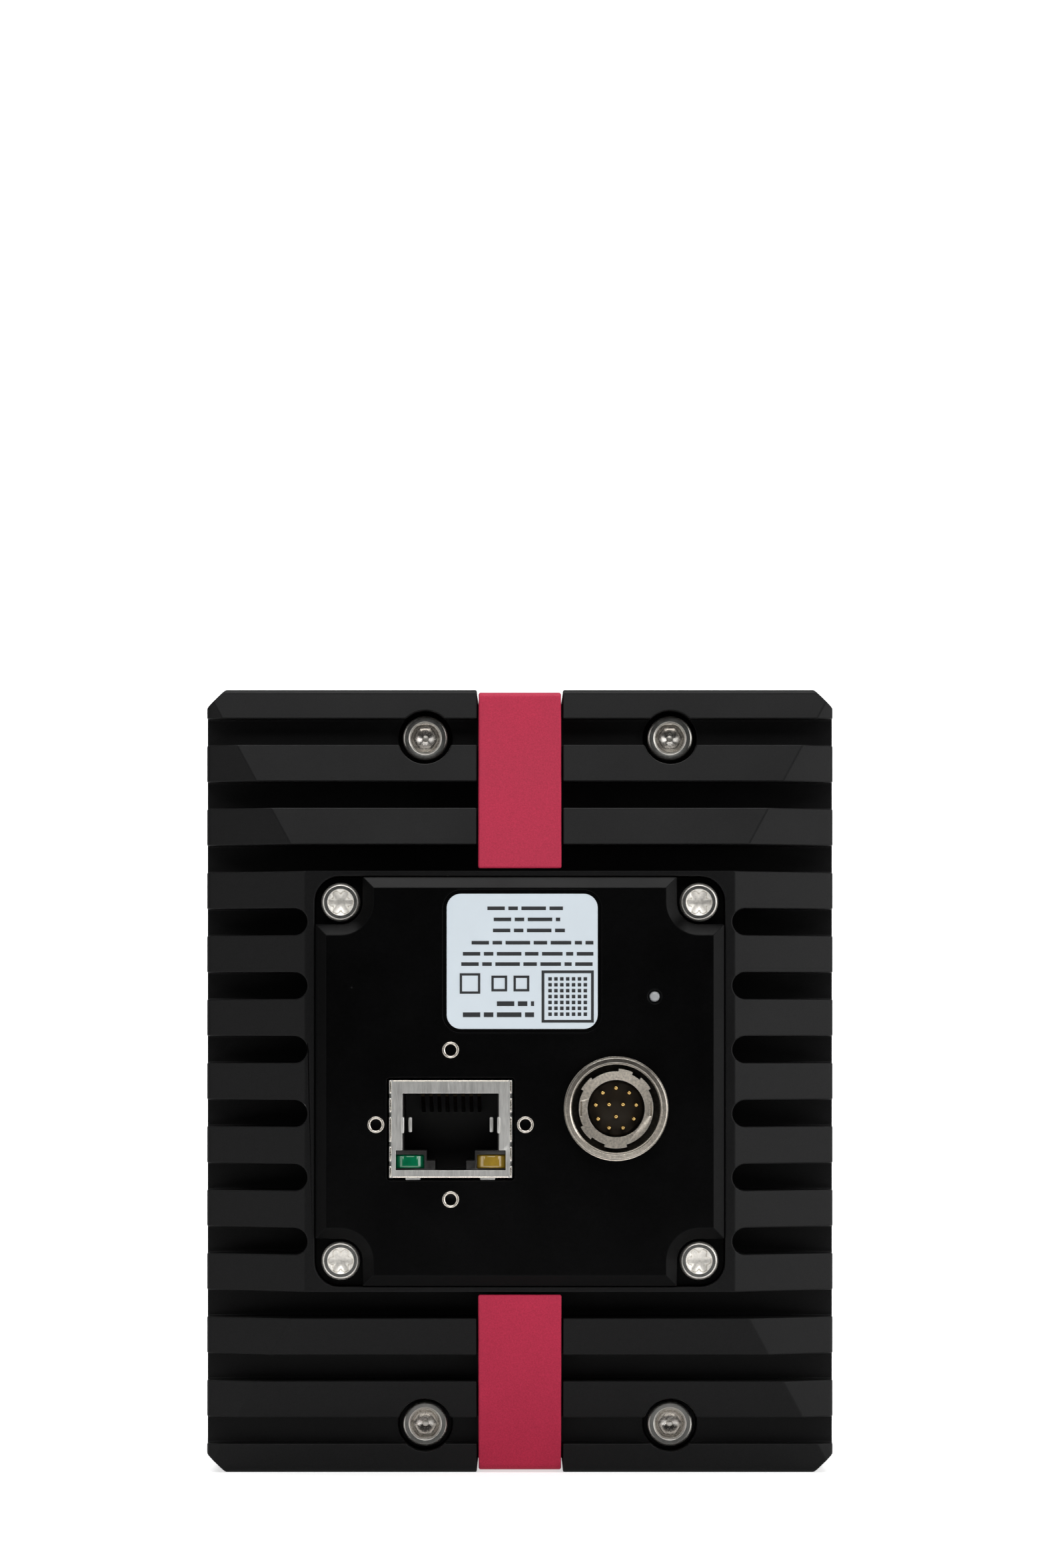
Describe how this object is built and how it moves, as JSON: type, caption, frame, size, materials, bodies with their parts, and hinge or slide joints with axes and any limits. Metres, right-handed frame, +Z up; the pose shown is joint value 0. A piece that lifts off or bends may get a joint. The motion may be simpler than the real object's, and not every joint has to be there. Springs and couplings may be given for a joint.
{
  "type": "cooled camera",
  "caption": "Box-shaped cooled astronomy camera: finned black heat-sink housing, rear connector cover, red inlays, threaded lens mount with adjustable ring and push-on dust cap.",
  "frame": {"origin": "centre of the lens mount's front face, where a lens's shoulder seats", "axes": "+Y along the optical axis out of the lens mount, +Z up, +X to the right seen from behind"},
  "size_m": [0.08, 0.0837, 0.1],
  "materials": {
    "black_anodised": "bead-blasted matte black anodising",
    "cover_black": "fine matte black anodising",
    "red_inlay": "satin red anodising",
    "dark_steel": "black oxide steel",
    "screw_steel": "bright zinc-plated steel",
    "nickel": "satin nickel plating",
    "tin_shield": "brushed tin-plated sheet",
    "gold": "gold-plated contact",
    "black_moulding": "moulded black plastic",
    "lamp_green": "tinted lamp window",
    "lamp_amber": "tinted lamp window",
    "clear_pipe": "clear moulded light pipe",
    "label_white": "printed white plate",
    "rubber_seal": "black elastomer",
    "aluminium": "machined",
    "cap_black": "textured black cap",
    "coated_glass": "anti-reflection coated",
    "sensor_face": "semiconductor die",
    "ceramic": "alumina ceramic",
    "cooler_element": "thermoelectric element",
    "kovar": "gold-flashed package metal",
    "copper": "machined copper",
    "circuit_board": "green solder mask",
    "chip_black": "moulded package",
    "thermal_pad": "soft grey pad",
    "ribbon": "polyimide ribbon"
  },
  "bodies": {
    "camera_body": {"rear_housing": "black_anodised", "front_housing": "black_anodised", "front_plate": "black_anodised", "rear_cover": "cover_black", "cover_gasket": "rubber_seal", "housing_gasket": "rubber_seal", "front_gasket": "rubber_seal", "front_plate_screws": "dark_steel", "housing_screws": "screw_steel", "rear_cover_screws": "screw_steel", "red_strip_top": "red_inlay", "red_strip_bottom": "red_inlay", "lock_screw_inserts": "nickel", "label": "label_white", "rj45_shield": "tin_shield", "rj45_insulator": "black_moulding", "rj45_contacts": "gold", "rj45_led_green": "lamp_green", "rj45_led_yellow": "lamp_amber", "round_connector_shell": "nickel", "round_connector_insert": "black_moulding", "round_connector_pins": "gold", "round_connector_seal": "rubber_seal", "round_connector_nut": "nickel", "window_seal": "rubber_seal", "filter_window": "coated_glass", "window_retaining_ring": "black_anodised", "sensor_chip": "sensor_face", "chip_carrier": "ceramic", "cooler_cold_plate": "ceramic", "cooler_hot_plate": "ceramic", "cooler_elements": "cooler_element", "sensor_package": "kovar", "sensor_window": "coated_glass", "sensor_pins": "gold", "heat_spreader": "copper", "heat_spreader_screws": "screw_steel", "sensor_board_standoffs": "aluminium", "sensor_board_screws": "screw_steel", "sensor_board": "circuit_board", "flex_connector_front": "black_moulding", "flex_connector_rear": "black_moulding", "flex_ribbon": "ribbon", "io_board": "circuit_board", "processing_board": "circuit_board", "io_board_standoffs": "aluminium", "board_spacers": "aluminium", "board_screws": "screw_steel", "processor_chip": "chip_black", "processor_thermal_pad": "thermal_pad", "processor_heat_block": "aluminium", "memory_chips": "chip_black", "board_link_connector": "black_moulding", "ethernet_transformer": "chip_black", "power_inductor": "chip_black", "status_led": "clear_pipe", "status_light_pipe": "clear_pipe"},
    "lens_mount": {"lens_mount_ring": "black_anodised", "lens_mount_lock_screws": "dark_steel"},
    "dust_cap": {"dust_cap": "cap_black"}
  },
  "joints": [
    {"name": "back_focus_turn", "type": "hinge", "parent": "camera_body", "child": "lens_mount", "pos_m": [0, -0.004, 0], "axis": [0, 1, 0], "range_deg": [-180, 180]},
    {"name": "dust_cap_pull", "type": "slide", "parent": "lens_mount", "child": "dust_cap", "axis": [0, 1, 0], "range_m": [0, 0.06]}
  ]
}
